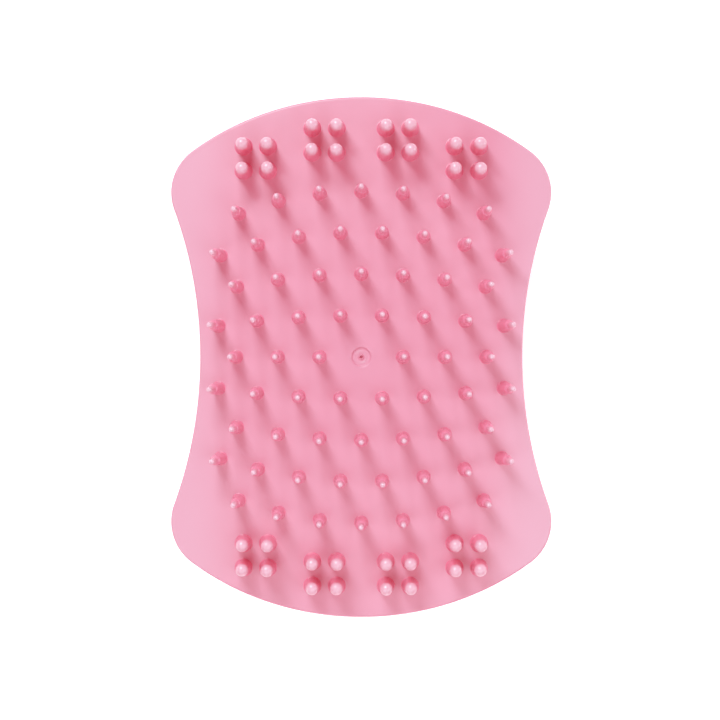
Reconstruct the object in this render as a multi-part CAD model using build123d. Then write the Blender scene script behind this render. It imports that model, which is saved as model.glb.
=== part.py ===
from build123d import *
import math
import os

# A palm-held scalp massager brush, lying on its back with its teeth pointing up.
# +Z is the way the teeth point, +Y runs along the length and +X across the width.
# The origin is the middle of the small flat patch on the back that it rests on.
# Two real pieces: a soft tooth pad, moulded in one shot, and the rigid grip shell it
# snaps into. The pad is written as its skin, its rows of fine exfoliating teeth and
# its clusters of thick massage teeth; those solids meet face to face.
# All sizes are in millimetres.

# Outline seen from the front: two bowed ends, four round corners and two hollow
# sides, each arc tangent to the next.
LENGTH = 96.0
WAIST_WIDTH = 59.4
END_RADIUS = 54.4
CORNER_RADIUS = 9.25
CORNER_X = 26.0  # centre of a corner arc

# Crown of the pad. Across the width it is a chain of tangent arcs, each given as
# (radius, how far from the middle it reaches): a nearly flat field, its rounded
# shoulder, a soft crease and a wing that curves back. Along the length it is one arc.
CROWN_Z = 30.0
CROWN_ARCS = ((1500.0, 11.5), (130.0, 22.9), (22.0, 23.9), (70.0, 42.0))
CROWN_LENGTH_RADIUS = 430.0
CROWN_SWEEP = 15.0  # degrees of the lengthwise arc, a little more than the pad needs
BELOW_EVERYTHING = -20.0
UPWARD = 0.5  # a face normal's Z is above this on the crown
UPRIGHT = 0.01  # and below this on an upright wall

# Pad skin and the skirt that holds it in the shell.
SKIN = 1.8
LIP_ROUND = 0.5
SKIRT_INSET = 2.6
SKIRT_THICKNESS = 1.4
SKIRT_FOOT_Z = 19.6
BEAD_Z = 21.2
BEAD_REACH = 0.7
BEAD_FLAT = 0.6

# Mark left in the middle of the pad by the moulding gate.
GATE_RADIUS = 1.85
GATE_DEPTH = 0.35
GATE_PIP_RADIUS = 0.35
GATE_PIP_HEIGHT = 0.25

# Exfoliating teeth: nine rows that bow towards the middle of the pad at their ends,
# with seven and eight teeth in turn. The middle row leaves room for the gate mark.
ROW_PITCH = 7.6
TOOTH_PITCH = 7.65
WING_TOOTH_PULL = 0.5  # how much closer in the outermost teeth of the longer rows stand
OUTERMOST_ROW = 4
BOW_OF_FIRST_ROW = 0.0054  # curvature of the rows beside the middle one
BOW_PER_ROW = 0.0034

# Massage teeth: eight clusters of two by two, four at each end.
CLUSTER_CENTRES = ((6.75, 39.85), (19.4, 36.5))
CLUSTER_PITCH = 4.5

# One exfoliating tooth: a stout cone that carries a slender pin. These stand square to
# the crown, so the outer ones lean outwards.
PIN_TOOTH_HEIGHT = 8.0
CONE_FOOT_RADIUS = 1.15
CONE_TOP_RADIUS = 1.0
CONE_HEIGHT = 4.0
SHOULDER_HEIGHT = 0.8
PIN_FOOT_RADIUS = 0.55
PIN_TIP_RADIUS = 0.48

# One massage tooth: a taper that ends in a ball. These stand upright on the crown.
BALL_TOOTH_HEIGHT = 8.0
TAPER_FOOT_RADIUS = 1.5
TAPER_TOP_RADIUS = 1.0
BALL_RADIUS = 1.15

FOOT_ROUND = 0.2  # fillet where an exfoliating tooth runs into the skin
FOOT_SINK = 0.6  # extra length under a tooth, trimmed off by the crown

# Grip shell: a palm-sized dome of hourglass sections.
SHELL_INSET = 0.35  # the lip of the pad overhangs the shell by this much
SHELL_WALL = 2.0
RIM_WALL = 2.15
EQUATOR_Z = 19.0
BACK_PATCH_SCALE = 0.36
DOME_EXPONENT = 2.4
SECTION_DEPTHS = (1.0, 0.985, 0.94, 0.85, 0.7, 0.5, 0.25, 0.0)
GROOVE_CLEARANCE = 0.15
OVERCUT = 0.1  # how far the groove's cutter starts inside the cavity
RIB_THICKNESS = 1.2
RIB_GAP = 0.5
LONG_RIB_X = (-13.0, 0.0, 13.0)
CROSS_RIB_Y = (-24.0, 0.0, 24.0)


def hourglass(inset=0.0, scale=1.0, height=0.0):
    """The outline as a flat face, moved evenly inwards, then scaled about its middle."""
    end = Vector(0, LENGTH / 2 - END_RADIUS)
    corner_reach = END_RADIUS - CORNER_RADIUS
    corner = Vector(CORNER_X, end.Y + math.sqrt(corner_reach**2 - CORNER_X**2))
    shoulder = WAIST_WIDTH / 2 - CORNER_X
    side_radius = (shoulder**2 + corner.Y**2 - CORNER_RADIUS**2) / (2 * (CORNER_RADIUS - shoulder))
    side = Vector(WAIST_WIDTH / 2 + side_radius, 0)

    towards_end = (corner - end).normalized()
    towards_side = (side - corner).normalized()
    outwards = (towards_end + towards_side).normalized()
    corner_radius = CORNER_RADIUS - inset
    top = Vector(0, LENGTH / 2 - inset)
    end_join = corner + towards_end * corner_radius
    corner_middle = corner + outwards * corner_radius
    side_join = corner + towards_side * corner_radius
    waist = Vector(WAIST_WIDTH / 2 - inset, 0)

    def place(point, x_sign, y_sign):
        return Vector(point.X * x_sign * scale, point.Y * y_sign * scale, height)

    def corner_arc(x_sign, y_sign):
        points = (end_join, corner_middle, side_join)
        return [place(point, x_sign, y_sign) for point in points]

    def side_arc(x_sign):
        return [place(side_join, x_sign, 1), place(waist, x_sign, 1), place(side_join, x_sign, -1)]

    def end_arc(y_sign):
        return [place(end_join, -1, y_sign), place(top, 1, y_sign), place(end_join, 1, y_sign)]

    arcs = (
        end_arc(1),
        corner_arc(1, 1),
        side_arc(1),
        corner_arc(1, -1)[::-1],
        end_arc(-1)[::-1],
        corner_arc(-1, -1),
        side_arc(-1)[::-1],
        corner_arc(-1, 1)[::-1],
    )
    return Face(Wire([ThreePointArc(*points) for points in arcs]))


def prism(inset, low, high):
    """The outline, moved inwards by an inset, as an upright block between two heights."""
    return extrude(hourglass(inset, height=low), high - low, dir=(0, 0, 1))


def crown(x):
    """Drop and slope angle of the pad's cross-section at a distance x from its middle."""
    drop = 0.0
    slope = 0.0
    start = 0.0
    for radius, reach in CROWN_ARCS:
        stop = min(abs(x), reach)
        new_slope = math.asin(math.sin(slope) + (stop - start) / radius)
        drop += radius * (math.cos(slope) - math.cos(new_slope))
        slope = new_slope
        start = stop
    return drop, slope


def under_crown(depth):
    """Everything below the crown surface after it has been lowered by a depth."""
    reaches = [reach for _, reach in CROWN_ARCS]
    stops = [-reach for reach in reversed(reaches)] + reaches

    def on_crown(x):
        return Vector(x, 0, CROWN_Z - depth - crown(x)[0])

    arcs = []
    for left, right in zip(stops, stops[1:]):
        arcs.append(ThreePointArc(on_crown(left), on_crown((left + right) / 2), on_crown(right)))
    low_right = Vector(stops[-1], 0, BELOW_EVERYTHING)
    low_left = Vector(stops[0], 0, BELOW_EVERYTHING)
    walls = Polyline(on_crown(stops[-1]), low_right, low_left, on_crown(stops[0]))
    profile = Face(Wire(arcs + list(walls.edges())))
    axis = Axis((0, 0, CROWN_Z - CROWN_LENGTH_RADIUS), (1, 0, 0))
    return revolve(profile, axis, CROWN_SWEEP).rotate(axis, -CROWN_SWEEP / 2)


def seat(x, y):
    """Where a tooth stands on the crown, with its Z axis square to the surface."""
    drop, slope = crown(x)
    swing = math.asin(y / (CROWN_LENGTH_RADIUS - drop))
    height = CROWN_Z - CROWN_LENGTH_RADIUS + (CROWN_LENGTH_RADIUS - drop) * math.cos(swing)
    outward = math.copysign(math.sin(slope), x)
    upward = math.cos(slope)
    normal = Vector(outward, upward * math.sin(swing), upward * math.cos(swing))
    return Location(Plane(origin=(x, y, height), z_dir=normal))


def turned(outline):
    """A round solid standing on the origin, from a half outline of (radius, height) points."""
    return Rot(90, 0, 0) * revolve(Face(Wire(outline)), Axis.Y)


def foot(radius):
    """Half outline of an exfoliating tooth's sunk foot and the fillet above it."""
    flare = radius + FOOT_ROUND
    return [
        Line((0, -FOOT_SINK), (flare, -FOOT_SINK)),
        Line((flare, -FOOT_SINK), (flare, 0)),
        RadiusArc((flare, 0), (radius, FOOT_ROUND), FOOT_ROUND),
    ]


def exfoliating_tooth():
    """A stout cone with a round shoulder that carries a slender, round-tipped pin."""
    cone_top = (CONE_TOP_RADIUS, CONE_HEIGHT)
    pin_foot = (PIN_FOOT_RADIUS, CONE_HEIGHT + SHOULDER_HEIGHT)
    pin_top = (PIN_TIP_RADIUS, PIN_TOOTH_HEIGHT - PIN_TIP_RADIUS)
    outline = foot(CONE_FOOT_RADIUS) + [
        Line((CONE_FOOT_RADIUS, FOOT_ROUND), cone_top),
        RadiusArc(cone_top, pin_foot, -SHOULDER_HEIGHT),
        Line(pin_foot, pin_top),
        RadiusArc(pin_top, (0, PIN_TOOTH_HEIGHT), -PIN_TIP_RADIUS),
        Line((0, PIN_TOOTH_HEIGHT), (0, -FOOT_SINK)),
    ]
    return turned(outline)


def massage_tooth():
    """A thick taper that ends in a ball a little wider than its neck."""
    ball_centre = BALL_TOOTH_HEIGHT - BALL_RADIUS
    neck = (TAPER_TOP_RADIUS, ball_centre - math.sqrt(BALL_RADIUS**2 - TAPER_TOP_RADIUS**2))
    draft = (TAPER_FOOT_RADIUS - TAPER_TOP_RADIUS) / neck[1]
    root = (TAPER_FOOT_RADIUS + FOOT_SINK * draft, -FOOT_SINK)
    outline = [
        Line((0, -FOOT_SINK), root),
        Line(root, neck),
        ThreePointArc(neck, (BALL_RADIUS, ball_centre), (0, BALL_TOOTH_HEIGHT)),
        Line((0, BALL_TOOTH_HEIGHT), (0, -FOOT_SINK)),
    ]
    return turned(outline)


def upright_seat(x, y):
    """Where a tooth stands on the crown, with its Z axis straight up."""
    return Pos(*seat(x, y).position)


def planted(tooth, seats):
    """Copies of a tooth, one on each seat, their feet trimmed to the crown."""
    crown_block = under_crown(0)
    return Compound(children=[place * tooth - crown_block for place in seats])


def row_places(row):
    """Middles of the teeth of one exfoliating row; row 0 is the middle one."""
    count = 7 if row % 2 == 0 else 8
    steps = [(number - (count - 1) / 2) * TOOTH_PITCH for number in range(count)]
    if count == 8:
        steps[0] += WING_TOOTH_PULL
        steps[-1] -= WING_TOOTH_PULL
    if row == 0:
        return [(step, 0) for step in steps if step != 0]
    bow_radius = 1 / (BOW_OF_FIRST_ROW + BOW_PER_ROW * (abs(row) - 1))
    places = []
    for step in steps:
        turn = step / bow_radius
        fall = bow_radius * (1 - math.cos(turn))
        places.append((bow_radius * math.sin(turn), row * ROW_PITCH - math.copysign(fall, row)))
    return places


def cluster_places(centre_x, centre_y):
    """Middles of the four teeth of one massage cluster."""
    half = CLUSTER_PITCH / 2
    return [(centre_x + dx, centre_y + dy) for dx in (-half, half) for dy in (-half, half)]


def tapered_ring(wide_inset, narrow_inset, wide_z, narrow_z):
    """A slice whose outline shrinks evenly from one height to another."""
    faces = [hourglass(wide_inset, height=wide_z), hourglass(narrow_inset, height=narrow_z)]
    return loft(faces, ruled=True)


def bead(outer_inset, base_inset, half_flat):
    """The snap bead as a solid slice: a flat crest between two even slopes."""
    rise = base_inset - outer_inset
    crest = prism(outer_inset, BEAD_Z - half_flat, BEAD_Z + half_flat)
    upper = tapered_ring(outer_inset, base_inset, BEAD_Z + half_flat, BEAD_Z + half_flat + rise)
    lower = tapered_ring(outer_inset, base_inset, BEAD_Z - half_flat, BEAD_Z - half_flat - rise)
    return crest + upper + lower


def gate_mark():
    """The shallow round recess with a pip in it, as the material to take away."""
    recess = Cylinder(GATE_RADIUS, GATE_DEPTH, align=(Align.CENTER, Align.CENTER, Align.MAX))
    pip = Cylinder(GATE_PIP_RADIUS, GATE_PIP_HEIGHT, align=(Align.CENTER, Align.CENTER, Align.MIN))
    return Pos(0, 0, CROWN_Z) * (recess - Pos(0, 0, -GATE_DEPTH) * pip)


def pad_skin():
    """The crowned skin with its rounded lip, gate mark and snap-in skirt."""
    plate = prism(0, SKIRT_FOOT_Z, CROWN_Z) & under_crown(0)
    crown_edges = plate.faces().filter_by(lambda face: face.normal_at().Z > UPWARD).edges()
    wall_edges = plate.faces().filter_by(lambda face: abs(face.normal_at().Z) < UPRIGHT).edges()
    lip = [edge for edge in crown_edges if edge in wall_edges]
    skin = fillet(lip, LIP_ROUND) - under_crown(SKIN)
    skirt = prism(SKIRT_INSET, SKIRT_FOOT_Z, CROWN_Z)
    skirt += bead(SKIRT_INSET - BEAD_REACH, SKIRT_INSET, BEAD_FLAT / 2)
    skirt -= prism(SKIRT_INSET + SKIRT_THICKNESS, SKIRT_FOOT_Z, CROWN_Z)
    return skin + (skirt & under_crown(SKIN)) - gate_mark()


def dome(inset, floor_z):
    """The back of the grip: hourglass sections from the equator down to the back patch."""
    depth = EQUATOR_Z - floor_z
    full_depth = 1 / (1 - BACK_PATCH_SCALE**DOME_EXPONENT) ** (1 / DOME_EXPONENT)
    sections = []
    for part_of_depth in SECTION_DEPTHS:
        scale = (1 - (part_of_depth / full_depth) ** DOME_EXPONENT) ** (1 / DOME_EXPONENT)
        sections.append(hourglass(inset, scale, EQUATOR_Z - depth * part_of_depth))
    return loft(sections)


def ribs(cavity):
    """Upright ribs across the cavity, kept clear of the skirt, that hold up the skin."""
    lift = Pos(0, 0, CROWN_Z / 2)
    long_rib = lift * Box(RIB_THICKNESS, LENGTH, CROWN_Z)
    cross_rib = lift * Box(LENGTH, RIB_THICKNESS, CROWN_Z)
    grid = Part() + [Pos(x, 0) * long_rib for x in LONG_RIB_X]
    grid += [Pos(0, y) * cross_rib for y in CROSS_RIB_Y]
    room = prism(SKIRT_INSET + SKIRT_THICKNESS + RIB_GAP, EQUATOR_Z, CROWN_Z)
    return grid & (cavity + room)


def grip_shell():
    """The rigid hollow palm grip, with ribs, a seat for the skin and a snap groove."""
    cavity_inset = SHELL_INSET + RIM_WALL
    outside = dome(SHELL_INSET, 0) + prism(SHELL_INSET, EQUATOR_Z, CROWN_Z)
    cavity = dome(cavity_inset, SHELL_WALL) + prism(cavity_inset, EQUATOR_Z, CROWN_Z)
    groove_inset = SKIRT_INSET - BEAD_REACH - GROOVE_CLEARANCE
    groove = bead(groove_inset, cavity_inset + OVERCUT, BEAD_FLAT / 2 + GROOVE_CLEARANCE)
    shell = outside - cavity - groove + ribs(dome(cavity_inset, SHELL_WALL))
    return shell & under_crown(SKIN)


def write_part(name, shape):
    """One STEP file for one sub-part."""
    shape.label = name
    print(name, "solids", len(shape.solids()), "volume", round(shape.volume, 1), shape.is_valid)
    export_step(shape, os.path.join("parts", name + ".step"))


os.makedirs("parts", exist_ok=True)
write_part("pad_skin", pad_skin())
write_part("grip_shell", grip_shell())
fine_tooth = exfoliating_tooth()
thick_tooth = massage_tooth()
for row in range(-OUTERMOST_ROW, OUTERMOST_ROW + 1):
    number = OUTERMOST_ROW - row + 1
    seats = [seat(x, y) for x, y in row_places(row)]
    write_part(f"exfoliating_row_{number}", planted(fine_tooth, seats))
cluster_number = 0
for end in (1, -1):
    for centre_x, centre_y in CLUSTER_CENTRES:
        for side in (-1, 1):
            cluster_number += 1
            places = cluster_places(side * centre_x, end * centre_y)
            seats = [upright_seat(x, y) for x, y in places]
            write_part(f"massage_cluster_{cluster_number}", planted(thick_tooth, seats))
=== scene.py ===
import math
import random

import bmesh
import bpy
from mathutils import Matrix, Vector


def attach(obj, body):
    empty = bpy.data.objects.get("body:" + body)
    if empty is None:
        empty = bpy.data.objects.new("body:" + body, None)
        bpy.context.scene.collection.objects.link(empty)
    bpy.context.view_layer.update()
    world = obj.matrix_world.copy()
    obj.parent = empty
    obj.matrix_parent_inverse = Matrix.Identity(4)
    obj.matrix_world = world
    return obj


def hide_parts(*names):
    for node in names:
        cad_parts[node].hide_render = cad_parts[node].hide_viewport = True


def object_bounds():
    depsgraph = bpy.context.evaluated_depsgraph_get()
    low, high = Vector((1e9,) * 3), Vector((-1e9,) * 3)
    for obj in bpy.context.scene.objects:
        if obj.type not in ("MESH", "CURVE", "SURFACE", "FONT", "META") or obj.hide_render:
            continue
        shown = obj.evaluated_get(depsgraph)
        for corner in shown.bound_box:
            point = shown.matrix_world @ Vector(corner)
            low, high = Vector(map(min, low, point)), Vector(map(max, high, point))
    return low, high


# Looks for the palm-held scalp massager brush. It lies on its back with its teeth up:
# +Z is the way the teeth point, +Y the length, +X the width. The sizes below repeat
# the CAD part's, in millimetres, and every mesh is scaled to metres as it is made.

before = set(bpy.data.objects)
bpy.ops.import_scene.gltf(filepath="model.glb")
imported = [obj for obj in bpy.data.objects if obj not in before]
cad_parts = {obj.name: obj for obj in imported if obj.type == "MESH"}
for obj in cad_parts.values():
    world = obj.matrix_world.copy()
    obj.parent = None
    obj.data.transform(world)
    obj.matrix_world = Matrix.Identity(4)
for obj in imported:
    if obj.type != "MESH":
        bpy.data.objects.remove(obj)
cad_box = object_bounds()
random.seed(7)

MM = 0.001

# Outline of the pad, seen from the front.
LENGTH = 96.0
WAIST_WIDTH = 59.4
END_RADIUS = 54.4
CORNER_RADIUS = 9.25
CORNER_X = 26.0

# Crown of the pad: (radius, reach) arcs across the width, one arc along the length.
CROWN_Z = 30.0
CROWN_ARCS = ((1500.0, 11.5), (130.0, 22.9), (22.0, 23.9), (70.0, 42.0))
CROWN_LENGTH_RADIUS = 430.0
SKIN = 1.8
LIP_ROUND = 0.5
FOOT_BEVEL = 0.12  # along the lower edge of the skin

# Gate mark in the middle of the pad.
GATE_RADIUS = 1.85
GATE_DEPTH = 0.35
GATE_EDGE = 0.3
FAINT_RING = 0.05  # rise of the thin ring between the rim and the pip
PIP_RADIUS = 0.35
PIP_HEIGHT = 0.25
PIP_DEPTH = 0.35  # of the pit torn into the pip where the runner broke off

# Tooth layout.
ROW_PITCH = 7.6
TOOTH_PITCH = 7.65
WING_TOOTH_PULL = 0.5
OUTERMOST_ROW = 4
BOW_OF_FIRST_ROW = 0.0054
BOW_PER_ROW = 0.0034
CLUSTER_CENTRES = ((6.75, 39.85), (19.4, 36.5))
CLUSTER_PITCH = 4.5
FOOT_SINK = 0.3
TOOTH_LEAN_DEGREES = 0.5  # how far any one tooth may stand off true

# Half outlines of the teeth, as (radius, height) points.
PIN_TOOTH_HEIGHT = 8.0
CONE_FOOT_RADIUS = 1.15
CONE_TOP_RADIUS = 1.0
CONE_HEIGHT = 4.0
SHOULDER_HEIGHT = 0.8
PIN_FOOT_RADIUS = 0.55
PIN_TIP_RADIUS = 0.48
BALL_TOOTH_HEIGHT = 8.0
TAPER_FOOT_RADIUS = 1.5
TAPER_TOP_RADIUS = 1.0
BALL_RADIUS = 1.15
FOOT_ROUND = 0.2
SETTLE_HEIGHT = 1.0  # below this a tooth follows the slope of the skin
TOOTH_SEGMENTS = 32

# Grip shell.
SHELL_INSET = 0.35
SHELL_WALL = 2.0
RIM_WALL = 2.15
EQUATOR_Z = 19.0
BACK_PATCH_SCALE = 0.36
DOME_EXPONENT = 2.4

# How finely the big surfaces are meshed.
AROUND = 384
AROUND_GATE = 96
GATE_FIELD = 3.0
FIELD_STEPS = 44
UNDER_STEPS = 8
LIP_STEPS = 7
EDGE_BAND = 8.0  # how far in from the lip the rings follow the outline
EDGE_STEP = 0.5
DOME_STEPS = 40
CAVITY_STEPS = 16
SHARP_DEGREES = 50

# Colours, as linear red, green and blue. The teeth's flanks are painted deeper than the skin, a painted
# shade, and their tips painted paler, a painted glow; both stand in for light scattered inside the soft
# moulding.
SKIN_PINKS = ((0.84, 0.253, 0.353), (0.86, 0.273, 0.373))
# Painted sheen: the skin's bare left and right margins are painted this paler pink.
SKIN_SIDE_SHEEN_PINK = (0.86, 0.32, 0.42)
# Painted shade: the teeth's deeper flank pinks. Painted glow: the paler pinks at their tips.
EXFOLIATING_SHADED_PINKS = ((0.88, 0.19, 0.3), (0.89, 0.22, 0.33))
EXFOLIATING_TIP_GLOW_PINK = (0.9, 0.42, 0.51)
MASSAGE_SHADED_PINKS = ((0.9, 0.18, 0.29), (0.91, 0.21, 0.32))
MASSAGE_TIP_GLOW_PINK = (0.9, 0.38, 0.47)
SHELL_PINKS = ((0.62, 0.12, 0.2), (0.68, 0.15, 0.235))
FLOOR_WHITES = ((0.93, 0.93, 0.93), (0.96, 0.96, 0.96))
WHITE = (1.0, 1.0, 1.0)

SKIN_ROUGHNESS = 0.42
EXFOLIATING_ROUGHNESS = 0.32
MASSAGE_ROUGHNESS = 0.3

# A painted sheen pales the skin between these distances from its middle, in metres, and a painted glow
# pales a tooth above this share of its height.
SHEEN_START = 0.022
SHEEN_END = 0.034
TIP_GLOW_START = 0.5

# Studio, in metres. The lamps have little red in them and the world's fill is nearly all
# red, so that shadows redden as they do on a material that scatters light inside.
FLOOR_SIZE = 1.3
FLOOR_GAP = 0.0003
FLOOR_GLOW = 0.5
WORLD_COLOUR = (0.5, 0.008, 0.07)
LAMP_COLOUR = (0.41, 1.0, 0.98)

# Lights: (name, azimuth, elevation, distance, size, power in watts).
LIGHTS = (
    ("key", -22, 42, 0.8, 0.38, 5.8),
    ("glint", -27, 50, 0.8, 0.1, 0.7),
    ("upper_right", 45, 40, 0.8, 0.35, 0.5),
    ("right", 90, 15, 0.8, 0.35, 1.7),
    ("left", -90, 15, 0.8, 0.35, 0.4),
    ("lower", 180, 18, 0.8, 0.35, 1.3),
    ("right_sheen", 90, 65, 0.8, 0.35, 0.3),
    ("near_left", -115, 55, 0.35, 0.2, 0.1),
    ("near_lower_left", -145, 50, 0.3, 0.18, 0.23),
    ("near_lower_right", 145, 50, 0.3, 0.18, 0.2),
    ("near_right", 115, 55, 0.35, 0.2, 0.18),
)

# Camera, in metres: an assumed distance, the width it sees there, and the point it faces.
CAMERA_DISTANCE = 0.45
VIEW_WIDTH = 0.133185
VIEW_CENTRE = (-0.000231, -0.000555, 0.026)
SENSOR_WIDTH = 36.0  # millimetres


# ---------------------------------------------------------------- shapes

def outline_joins():
    """Centres and join directions of the arcs of the outline, in its first quarter."""
    end = Vector((0, LENGTH / 2 - END_RADIUS))
    reach = END_RADIUS - CORNER_RADIUS
    corner = Vector((CORNER_X, end.y + math.sqrt(reach**2 - CORNER_X**2)))
    shoulder = WAIST_WIDTH / 2 - CORNER_X
    side_radius = (shoulder**2 + corner.y**2 - CORNER_RADIUS**2) / (2 * (CORNER_RADIUS - shoulder))
    side = Vector((WAIST_WIDTH / 2 + side_radius, 0))
    end_angle = math.atan2(corner.y - end.y, corner.x - end.x)
    side_angle = math.atan2(side.y - corner.y, side.x - corner.x)
    return end, corner, side, side_radius, end_angle, side_angle


def quarter_outline(inset, count):
    """Points from the top of the outline round to the waist on the right, evenly spaced."""
    end, corner, side, side_radius, end_angle, side_angle = outline_joins()
    arcs = (
        (end, END_RADIUS, -inset, math.pi / 2, end_angle),
        (corner, CORNER_RADIUS, -inset, end_angle, side_angle),
        (side, side_radius, inset, math.pi + side_angle, math.pi),
    )
    lengths = [radius * abs(last - first) for _, radius, _, first, last in arcs]
    points = []
    for number in range(count):
        along = sum(lengths) * number / count
        for (centre, radius, growth, first, last), length in zip(arcs, lengths):
            if along <= length:
                break
            along -= length
        angle = first + (last - first) * along / length
        reach = radius + growth
        points.append((centre.x + reach * math.cos(angle), centre.y + reach * math.sin(angle)))
    return points


def outline(inset, scale=1.0):
    """The whole outline as points, clockwise from its top."""
    count = AROUND // 4
    quarter = quarter_outline(inset, count)
    waist = (WAIST_WIDTH / 2 - inset, 0.0)
    lower = [(x, -y) for x, y in [waist] + quarter[:0:-1]]
    right = quarter + lower
    left = [(-x, -y) for x, y in right]
    return [(x * scale, y * scale) for x, y in right + left]


def circle(radius, count):
    """Points round a circle, clockwise from its top, as many as an outline has."""
    turns = [2 * math.pi * number / count for number in range(count)]
    return [(radius * math.sin(turn), radius * math.cos(turn)) for turn in turns]


def crown(x):
    """Drop and slope angle of the pad's cross-section at a distance x from its middle."""
    drop = 0.0
    slope = 0.0
    start = 0.0
    for radius, reach in CROWN_ARCS:
        stop = min(abs(x), reach)
        new_slope = math.asin(math.sin(slope) + (stop - start) / radius)
        drop += radius * (math.cos(slope) - math.cos(new_slope))
        slope = new_slope
        start = stop
    return drop, slope


def crown_z(x, y):
    """Height of the pad's outer surface."""
    radius = CROWN_LENGTH_RADIUS - crown(x)[0]
    return CROWN_Z - CROWN_LENGTH_RADIUS + math.sqrt(radius**2 - y**2)


def on_crown(points, drop=0.0):
    """A ring of outline points laid on the crown, or below it by a drop."""
    return [(x, y, crown_z(x, y) - drop) for x, y in points]


def upright_seat(x, y):
    """Matrix that stands a tooth straight up on the crown at (x, y)."""
    return Matrix.Translation((x, y, crown_z(x, y)))


def square_seat(x, y):
    """Matrix that stands a tooth on the crown at (x, y), square to the surface."""
    drop, slope = crown(x)
    swing = math.asin(y / (CROWN_LENGTH_RADIUS - drop))
    outward = math.copysign(math.sin(slope), x)
    upward = math.cos(slope)
    normal = Vector((outward, upward * math.sin(swing), upward * math.cos(swing)))
    turn = normal.to_track_quat("Z", "Y").to_matrix().to_4x4()
    return Matrix.Translation((x, y, crown_z(x, y))) @ turn


# ---------------------------------------------------------------- meshes

def new_piece(name, mesh_maker):
    """An object whose mesh is filled by mesh_maker(bm) in millimetres, shaded smooth."""
    bm = bmesh.new()
    mesh_maker(bm)
    bmesh.ops.recalc_face_normals(bm, faces=bm.faces)
    bmesh.ops.scale(bm, vec=(MM, MM, MM), verts=bm.verts)
    mesh = bpy.data.meshes.new(name)
    bm.to_mesh(mesh)
    bm.free()
    mesh.shade_smooth()
    mesh.set_sharp_from_angle(angle=math.radians(SHARP_DEGREES))
    piece = bpy.data.objects.new(name, mesh)
    bpy.context.scene.collection.objects.link(piece)
    return piece


def add_ring(bm, points):
    return [bm.verts.new(point) for point in points]


def bridge(bm, first, second):
    """Faces between two rings; the first may have a whole number of times more points."""
    times = len(first) // len(second)
    for number in range(len(second)):
        near = second[number]
        following = second[(number + 1) % len(second)]
        run = [first[(number * times + step) % len(first)] for step in range(times + 1)]
        if times == 1:
            bm.faces.new((run[0], run[1], following, near))
            continue
        middle = times // 2
        for step in range(times):
            corner = near if step < middle else following
            bm.faces.new((run[step], run[step + 1], corner))
        bm.faces.new((run[middle], following, near))


def cap(bm, ring, point):
    """A fan of faces that closes a ring onto one point."""
    centre = bm.verts.new(point)
    for number, vertex in enumerate(ring):
        bm.faces.new((vertex, ring[(number + 1) % len(ring)], centre))


def string_rings(bm, rings):
    """Adds rings of points and joins each to the next; returns the first and last."""
    made = [add_ring(bm, ring) for ring in rings]
    for first, second in zip(made, made[1:]):
        bridge(bm, first, second)
    return made[0], made[-1]


def blended(ring, inner, share):
    """Points part of the way from one ring to another."""
    return [
        (a * (1 - share) + c * share, b * (1 - share) + d * share)
        for (a, b), (c, d) in zip(ring, inner)
    ]


def gate_profile():
    """The gate mark from its rim to its pip, as (radius, depth) steps."""
    steps = [(GATE_FIELD - 0.4, 0.0), (GATE_RADIUS + 0.3, 0.0), (GATE_RADIUS + 0.15, -0.03)]
    for number in range(7):
        turn = math.pi * number / 6
        radius = GATE_RADIUS - GATE_EDGE * number / 6
        steps.append((radius, GATE_DEPTH * (0.06 + 0.47 * (1 - math.cos(turn)))))
    for share, rise in ((0.66, 0.0), (0.62, FAINT_RING), (0.58, FAINT_RING), (0.54, 0.0)):
        steps.append((GATE_RADIUS * share, GATE_DEPTH - rise))
    for share, rise in ((1.6, 0.0), (1.3, 0.8), (1.05, 1.0), (0.8, 0.7)):
        steps.append((PIP_RADIUS * share, GATE_DEPTH - PIP_HEIGHT * rise))
    steps.append((PIP_RADIUS * 0.65, GATE_DEPTH + PIP_DEPTH))
    return steps


def fill_skin(bm):
    """The closed skin: crown from the gate mark outwards, rounded lip, wall, underside.

    The skirt and snap bead below it are out of sight and are left out.
    """
    field = outline(EDGE_BAND)
    middle = circle(GATE_FIELD, AROUND)
    rings = [on_crown(middle)]
    for step in range(1, FIELD_STEPS + 1):
        rings.append(on_crown(blended(middle, field, step / FIELD_STEPS)))
    rings += [on_crown(outline(EDGE_BAND - EDGE_STEP * step)) for step in range(1, 15)]
    edge = outline(LIP_ROUND)
    for step in range(LIP_STEPS + 1):
        turn = math.pi / 2 * step / LIP_STEPS
        inset = LIP_ROUND * (1 - math.sin(turn))
        fall = LIP_ROUND * (1 - math.cos(turn))
        heights = [crown_z(x, y) - fall for x, y in edge]
        rings.append([(x, y, z) for (x, y), z in zip(outline(inset), heights)])
    foot = [crown_z(x, y) - SKIN for x, y in outline(0)]
    rings.append([(x, y, z + FOOT_BEVEL) for (x, y), z in zip(outline(0), foot)])
    rings.append([(x, y, z) for (x, y), z in zip(outline(FOOT_BEVEL), foot)])
    rings += [on_crown(outline(inset), SKIN) for inset in (1.5, 4.0, EDGE_BAND)]
    for step in range(UNDER_STEPS - 1, -1, -1):
        rings.append(on_crown(blended(middle, field, step / UNDER_STEPS), SKIN))
    top_ring, under_ring = string_rings(bm, rings)
    cap(bm, under_ring, (0, 0, CROWN_Z - SKIN))
    gate_rings = [on_crown(circle(radius, AROUND_GATE), depth) for radius, depth in gate_profile()]
    first, last = string_rings(bm, gate_rings)
    bridge(bm, top_ring, first)
    cap(bm, last, (0, 0, CROWN_Z - GATE_DEPTH - PIP_DEPTH))


def arc_steps(centre, radius, first, last, count):
    """(radius, height) points along an arc of a half outline, angles in degrees."""
    turns = [math.radians(first + (last - first) * step / count) for step in range(count + 1)]
    return [(centre[0] + radius * math.cos(turn), centre[1] + radius * math.sin(turn)) for turn in turns]


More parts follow.
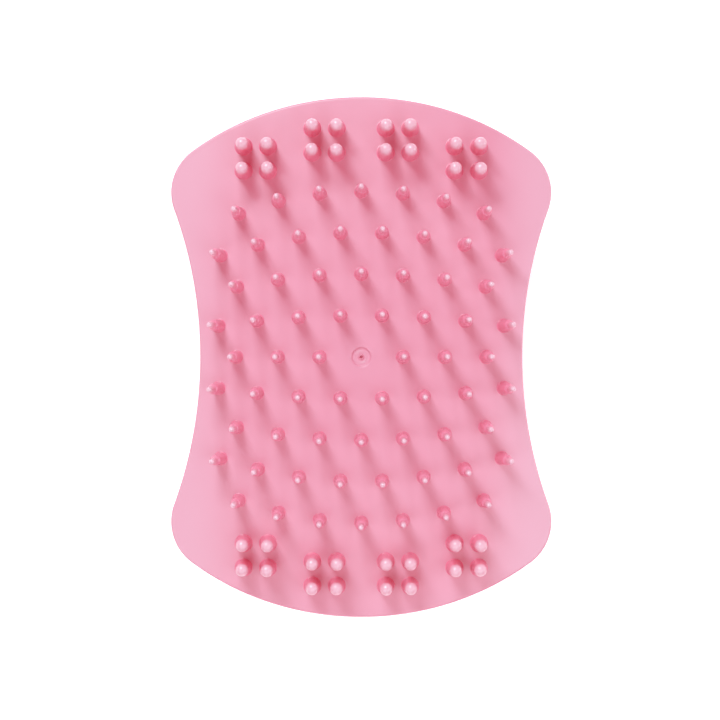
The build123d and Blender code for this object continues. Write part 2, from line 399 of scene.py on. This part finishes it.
def foot_profile(radius):
    """Sunk foot and the fillet that flares it into the skin."""
    flare = (radius + FOOT_ROUND, FOOT_ROUND)
    return [(radius + FOOT_ROUND, -FOOT_SINK)] + arc_steps(flare, FOOT_ROUND, 270, 180, 5)


def pin_tooth_profile():
    """A stout cone with a round shoulder, a slender pin and a round tip."""
    pin_foot_height = CONE_HEIGHT + SHOULDER_HEIGHT
    waist = [
        (CONE_FOOT_RADIUS + (CONE_TOP_RADIUS - CONE_FOOT_RADIUS) * step / 4,
         FOOT_ROUND + (CONE_HEIGHT - FOOT_ROUND) * step / 4)
        for step in range(1, 5)
    ]
    shoulder = []
    for step in range(1, 6):
        turn = math.pi / 2 * step / 6
        radius = PIN_FOOT_RADIUS + (CONE_TOP_RADIUS - PIN_FOOT_RADIUS) * math.cos(turn)
        shoulder.append((radius, CONE_HEIGHT + SHOULDER_HEIGHT * math.sin(turn) * 0.92))
    pin = [
        (PIN_FOOT_RADIUS, pin_foot_height + 0.1),
        (PIN_FOOT_RADIUS - 0.01, pin_foot_height + 0.6),
        (PIN_TIP_RADIUS + 0.02, pin_foot_height + 1.7),
    ]
    tip = arc_steps((0, PIN_TOOTH_HEIGHT - PIN_TIP_RADIUS), PIN_TIP_RADIUS, 0, 78, 6)
    return foot_profile(CONE_FOOT_RADIUS) + waist + shoulder + pin + tip


def ball_tooth_profile():
    """A thick taper that ends in a ball."""
    ball_centre = BALL_TOOTH_HEIGHT - BALL_RADIUS
    neck_turn = -math.degrees(math.acos(TAPER_TOP_RADIUS / BALL_RADIUS))
    neck_height = ball_centre + BALL_RADIUS * math.sin(math.radians(neck_turn))
    taper = [
        (TAPER_FOOT_RADIUS + (TAPER_TOP_RADIUS - TAPER_FOOT_RADIUS) * step / 7,
         FOOT_ROUND + (neck_height - FOOT_ROUND) * step / 7)
        for step in range(1, 7)
    ]
    ball = arc_steps((0, ball_centre), BALL_RADIUS, neck_turn, 80, 11)
    return foot_profile(TAPER_FOOT_RADIUS) + taper + ball


def settled(point, level):
    """A point of a tooth, drawn down or up to the skin's slope where it is near the foot."""
    share = min(1.0, max(0.0, 1.0 - level / SETTLE_HEIGHT))
    surface = crown_z(point.x, point.y) + level
    return Vector((point.x, point.y, point.z + share * (surface - point.z)))


def fill_teeth(bm, seats, profile, height):
    """Turned teeth, one on each seat, each a hair off true."""
    layer = bm.verts.layers.float.new("tooth_height")
    for place in seats:
        lean = [math.radians(random.uniform(-TOOTH_LEAN_DEGREES, TOOTH_LEAN_DEGREES)) for _ in "xy"]
        place = place @ Matrix.Rotation(lean[0], 4, "X") @ Matrix.Rotation(lean[1], 4, "Y")
        rings = []
        for radius, level in profile:
            ring = [place @ Vector((a, b, level)) for a, b in circle(radius, TOOTH_SEGMENTS)]
            rings.append([settled(point, level) for point in ring])
        before = len(bm.verts)
        first, last = string_rings(bm, rings)
        cap(bm, last, place @ Vector((0, 0, height)))
        cap(bm, first, place @ Vector((0, 0, -FOOT_SINK)))
        bm.verts.ensure_lookup_table()
        unplace = place.inverted()
        for index in range(before, len(bm.verts)):
            vertex = bm.verts[index]
            vertex[layer] = max(0.0, (unplace @ vertex.co).z / height)


def fill_shell(bm):
    """The closed hollow shell: rim, outside dome, back patch and cavity, without its ribs."""

    def dome_rings(inset, floor_z, count):
        depth = EQUATOR_Z - floor_z
        full_depth = 1 / (1 - BACK_PATCH_SCALE**DOME_EXPONENT) ** (1 / DOME_EXPONENT)
        last = math.asin(full_depth ** (-DOME_EXPONENT / 2))
        rings = []
        for step in range(count + 1):
            turn = last * step / count
            scale = math.cos(turn) ** (2 / DOME_EXPONENT)
            fall = full_depth * math.sin(turn) ** (2 / DOME_EXPONENT)
            ring = [(x, y, EQUATOR_Z - depth * fall) for x, y in outline(inset, scale)]
            rings.append(ring)
        return rings

    cavity_inset = SHELL_INSET + RIM_WALL
    outside = [on_crown(outline(SHELL_INSET), SKIN)] + dome_rings(SHELL_INSET, 0, DOME_STEPS)
    patch = [[(x * share, y * share, z) for x, y, z in outside[-1]] for share in (0.9, 0.5)]
    inside = [on_crown(outline(cavity_inset), SKIN)]
    inside += dome_rings(cavity_inset, SHELL_WALL, CAVITY_STEPS)
    rim, back = string_rings(bm, outside + patch)
    inner_rim, floor = string_rings(bm, inside)
    bridge(bm, rim, inner_rim)
    cap(bm, back, (0, 0, 0))
    cap(bm, floor, (0, 0, SHELL_WALL))


# ---------------------------------------------------------------- materials

class Nodes:
    """A short way to add and join the nodes of one material."""

    def __init__(self, name):
        self.material = bpy.data.materials.new(name)
        self.material.use_nodes = True
        self.tree = self.material.node_tree
        self.shader = self.tree.nodes["Principled BSDF"]

    def add(self, kind, **settings):
        node = self.tree.nodes.new(kind)
        for key, value in settings.items():
            if key in node.inputs:
                node.inputs[key].default_value = value
            else:
                setattr(node, key, value)
        return node

    def join(self, source, target):
        self.tree.links.new(source, target)

    def noise(self, place, scale, detail, roughness=0.5):
        node = self.add("ShaderNodeTexNoise", Scale=scale, Detail=detail, Roughness=roughness)
        self.join(place, node.inputs["Vector"])
        return node.outputs["Fac"]

    def mottle(self, value, colours):
        """Drifts between two colours as a noise value goes from low to high."""
        node = self.add("ShaderNodeValToRGB")
        for element, position, colour in zip(node.color_ramp.elements, (0.3, 0.7), colours):
            element.position = position
            element.color = (*colour, 1.0)
        self.join(value, node.inputs["Fac"])
        return node.outputs["Color"]

    def smooth(self, value, start, end):
        """0 up to start, 1 from end on, and a smooth step between them."""
        node = self.add("ShaderNodeMapRange", interpolation_type="SMOOTHSTEP")
        node.inputs["From Min"].default_value = start
        node.inputs["From Max"].default_value = end
        self.join(value, node.inputs["Value"])
        return node.outputs["Result"]

    def blend(self, share, colour, other):
        """A joined colour that turns into a fixed one as share goes from 0 to 1."""
        node = self.add("ShaderNodeMix", data_type="RGBA")
        self.join(share, node.inputs[0])
        self.join(colour, node.inputs[6])
        node.inputs[7].default_value = (*other, 1.0)
        return node.outputs[2]

    def spread(self, value, low, high):
        node = self.add("ShaderNodeMapRange")
        node.inputs["To Min"].default_value = low
        node.inputs["To Max"].default_value = high
        self.join(value, node.inputs["Value"])
        return node.outputs["Result"]

    def bump(self, height, strength, distance, under=None):
        node = self.add("ShaderNodeBump", Strength=strength, Distance=distance)
        self.join(height, node.inputs["Height"])
        if under is not None:
            self.join(under, node.inputs["Normal"])
        return node.outputs["Normal"]


def soft_pink(name, pinks, roughness, pale, toward_painted_light):
    """Moulded satin elastomer: mottled pink, painted paler along toward_painted_light, which paints
    light (a sheen or a glow) on it, and fine-grained.
    """
    nodes = Nodes(name)
    place = nodes.add("ShaderNodeTexCoord").outputs["Object"]
    clouds = nodes.noise(place, 55.0, 3.0)
    grain = nodes.noise(place, 2600.0, 2.0, 0.6)
    colour = nodes.mottle(clouds, pinks)
    # Painted light: blends toward the pale pink, a painted sheen on the skin and a painted glow on the
    # teeth's tips.
    colour = nodes.blend(toward_painted_light(nodes, place), colour, pale)
    nodes.join(colour, nodes.shader.inputs["Base Color"])
    satin = nodes.spread(grain, roughness - 0.06, roughness + 0.08)
    nodes.join(satin, nodes.shader.inputs["Roughness"])
    waves = nodes.bump(clouds, 0.25, 0.0004)
    nodes.join(nodes.bump(grain, 0.18, 0.00003, waves), nodes.shader.inputs["Normal"])
    nodes.shader.inputs["IOR"].default_value = 1.5
    nodes.shader.inputs["Specular IOR Level"].default_value = 0.8
    return nodes.material


def toward_sides_sheen(nodes, place):
    """Painted sheen: from 0 amid the teeth to 1 at the bare left and right margins of the skin."""
    apart = nodes.add("ShaderNodeSeparateXYZ")
    nodes.join(place, apart.inputs["Vector"])
    sideways = nodes.add("ShaderNodeMath", operation="ABSOLUTE")
    nodes.join(apart.outputs["X"], sideways.inputs[0])
    return nodes.smooth(sideways.outputs[0], SHEEN_START, SHEEN_END)


def toward_tip_glow(nodes, place):
    """Painted glow: from 0 on a tooth's painted-shade flank to 1 at its tip, by the height kept with its
    mesh.
    """
    height = nodes.add("ShaderNodeAttribute", attribute_name="tooth_height").outputs["Fac"]
    return nodes.smooth(height, TIP_GLOW_START, 1.0)


def gloss_pink():
    """The rigid shell: glossy moulded plastic, faint flow marks and hairline scratches."""
    nodes = Nodes("grip_shell_plastic")
    place = nodes.add("ShaderNodeTexCoord").outputs["Object"]
    flow = nodes.noise(place, 28.0, 4.0)
    stretch = nodes.add("ShaderNodeMapping")
    stretch.inputs["Scale"].default_value = (1.0, 14.0, 1.0)
    nodes.join(place, stretch.inputs["Vector"])
    hairlines = nodes.noise(stretch.outputs["Vector"], 420.0, 5.0, 0.7)
    nodes.join(nodes.mottle(flow, SHELL_PINKS), nodes.shader.inputs["Base Color"])
    nodes.join(nodes.spread(hairlines, 0.16, 0.3), nodes.shader.inputs["Roughness"])
    waves = nodes.bump(flow, 0.12, 0.0006)
    nodes.join(nodes.bump(hairlines, 0.05, 0.00002, waves), nodes.shader.inputs["Normal"])
    nodes.shader.inputs["Subsurface Weight"].default_value = 0.25
    nodes.shader.inputs["Subsurface Radius"].default_value = (1.0, 0.3, 0.4)
    nodes.shader.inputs["Subsurface Scale"].default_value = 0.001
    nodes.shader.inputs["Coat Weight"].default_value = 0.25
    nodes.shader.inputs["Coat Roughness"].default_value = 0.08
    return nodes.material


def pale_floor():
    """A near-white matt board with a trace of mottle, which glows a little by itself."""
    nodes = Nodes("studio_floor")
    place = nodes.add("ShaderNodeTexCoord").outputs["Object"]
    patches = nodes.noise(place, 30.0, 4.0)
    nodes.join(nodes.mottle(patches, FLOOR_WHITES), nodes.shader.inputs["Base Color"])
    tooth = nodes.noise(place, 900.0, 2.0)
    nodes.join(nodes.bump(tooth, 0.08, 0.0001), nodes.shader.inputs["Normal"])
    nodes.shader.inputs["Roughness"].default_value = 0.85
    nodes.shader.inputs["Emission Color"].default_value = (*WHITE, 1.0)
    nodes.shader.inputs["Emission Strength"].default_value = FLOOR_GLOW
    return nodes.material


# ---------------------------------------------------------------- pieces

def finish_piece(piece, material, slot, *nodes):
    """Gives a new piece its material and the root body, and hides the CAD nodes it stands for; the slot
    is not used.
    """
    piece.data.materials.append(material)
    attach(piece, "root")
    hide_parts(*nodes)


def row_places(row):
    """Where the teeth of one exfoliating row stand; row 0 is the middle one."""
    count = 7 if row % 2 == 0 else 8
    steps = [(number - (count - 1) / 2) * TOOTH_PITCH for number in range(count)]
    if count == 8:
        steps[0] += WING_TOOTH_PULL
        steps[-1] -= WING_TOOTH_PULL
    if row == 0:
        return [(step, 0) for step in steps if step != 0]
    bow_radius = 1 / (BOW_OF_FIRST_ROW + BOW_PER_ROW * (abs(row) - 1))
    places = []
    for step in steps:
        turn = step / bow_radius
        fall = bow_radius * (1 - math.cos(turn))
        places.append((bow_radius * math.sin(turn), row * ROW_PITCH - math.copysign(fall, row)))
    return places


def cluster_places(centre_x, centre_y):
    """Where the four teeth of one massage cluster stand."""
    half = CLUSTER_PITCH / 2
    return [(centre_x + dx, centre_y + dy) for dx in (-half, half) for dy in (-half, half)]


def build_skin():
    material = soft_pink(
        "tooth_pad_elastomer", SKIN_PINKS, SKIN_ROUGHNESS, SKIN_SIDE_SHEEN_PINK, toward_sides_sheen
    )
    finish_piece(new_piece("tooth_pad_skin", fill_skin), material, "tooth_pad", "pad_skin")


def build_exfoliating_teeth():
    material = soft_pink(
        "exfoliating_tooth_elastomer", EXFOLIATING_SHADED_PINKS, EXFOLIATING_ROUGHNESS,
        EXFOLIATING_TIP_GLOW_PINK, toward_tip_glow,
    )
    profile = pin_tooth_profile()
    for row in range(OUTERMOST_ROW, -OUTERMOST_ROW - 1, -1):
        node = f"exfoliating_row_{OUTERMOST_ROW - row + 1}"
        seats = [square_seat(x, y) for x, y in row_places(row)]
        piece = new_piece(
            f"{node}_teeth", lambda bm: fill_teeth(bm, seats, profile, PIN_TOOTH_HEIGHT)
        )
        finish_piece(piece, material, "exfoliating_teeth", node)


def build_massage_teeth():
    material = soft_pink(
        "massage_tooth_elastomer", MASSAGE_SHADED_PINKS, MASSAGE_ROUGHNESS, MASSAGE_TIP_GLOW_PINK, toward_tip_glow
    )
    profile = ball_tooth_profile()
    number = 0
    for end in (1, -1):
        for centre_x, centre_y in CLUSTER_CENTRES:
            for side in (-1, 1):
                number += 1
                node = f"massage_cluster_{number}"
                places = cluster_places(side * centre_x, end * centre_y)
                seats = [upright_seat(x, y) for x, y in places]
                piece = new_piece(
                    f"{node}_teeth", lambda bm: fill_teeth(bm, seats, profile, BALL_TOOTH_HEIGHT)
                )
                finish_piece(piece, material, "massage_teeth", node)


def build_shell():
    finish_piece(new_piece("palm_grip", fill_shell), gloss_pink(), "grip_shell", "grip_shell")


# ---------------------------------------------------------------- studio

def area_light(name, azimuth, elevation, distance, size, power):
    """A square soft light facing the pad; azimuth 0 is the top end, 90 the right side."""
    turn = math.radians(azimuth)
    climb = math.radians(elevation)
    level = math.cos(climb)
    away = Vector((math.sin(turn) * level, math.cos(turn) * level, math.sin(climb)))
    data = bpy.data.lights.new(name, "AREA")
    data.size = size
    data.energy = power
    data.color = LAMP_COLOUR
    light = bpy.data.objects.new(name, data)
    light.location = Vector((0, 0, CROWN_Z * MM)) + distance * away
    light.rotation_euler = (-away).to_track_quat("-Z", "Y").to_euler()
    bpy.context.scene.collection.objects.link(light)


def build_floor():
    bpy.ops.mesh.primitive_grid_add(x_subdivisions=24, y_subdivisions=24, size=FLOOR_SIZE)
    floor = bpy.context.object
    floor.name = "studio_floor"
    floor.location.z = cad_box[0][2] - FLOOR_GAP
    floor.data.materials.append(pale_floor())


def build_world():
    """A plain white backdrop, which lights the object only with the red fill."""
    world = bpy.data.worlds.new("studio_world")
    world.use_nodes = True
    tree = world.node_tree
    seen = tree.nodes.new("ShaderNodeLightPath").outputs["Is Camera Ray"]
    backdrop = tree.nodes.new("ShaderNodeMix")
    backdrop.data_type = "RGBA"
    backdrop.inputs[6].default_value = (*WORLD_COLOUR, 1.0)
    backdrop.inputs[7].default_value = (*WHITE, 1.0)
    tree.links.new(seen, backdrop.inputs[0])
    tree.links.new(backdrop.outputs[2], tree.nodes["Background"].inputs["Color"])
    bpy.context.scene.world = world


def build_camera():
    """Straight above the pad, framed as the object is seen from the front."""
    data = bpy.data.cameras.new("camera")
    data.sensor_width = SENSOR_WIDTH
    data.lens = SENSOR_WIDTH * CAMERA_DISTANCE / VIEW_WIDTH
    data.clip_start = 0.01
    camera = bpy.data.objects.new("camera", data)
    camera.location = Vector(VIEW_CENTRE) + Vector((0, 0, CAMERA_DISTANCE))
    bpy.context.scene.collection.objects.link(camera)
    bpy.context.scene.camera = camera


build_skin()
build_exfoliating_teeth()
build_massage_teeth()
build_shell()
build_floor()
build_world()
for light in LIGHTS:
    area_light(*light)
build_camera()
bpy.context.scene.view_settings.view_transform = "Standard"
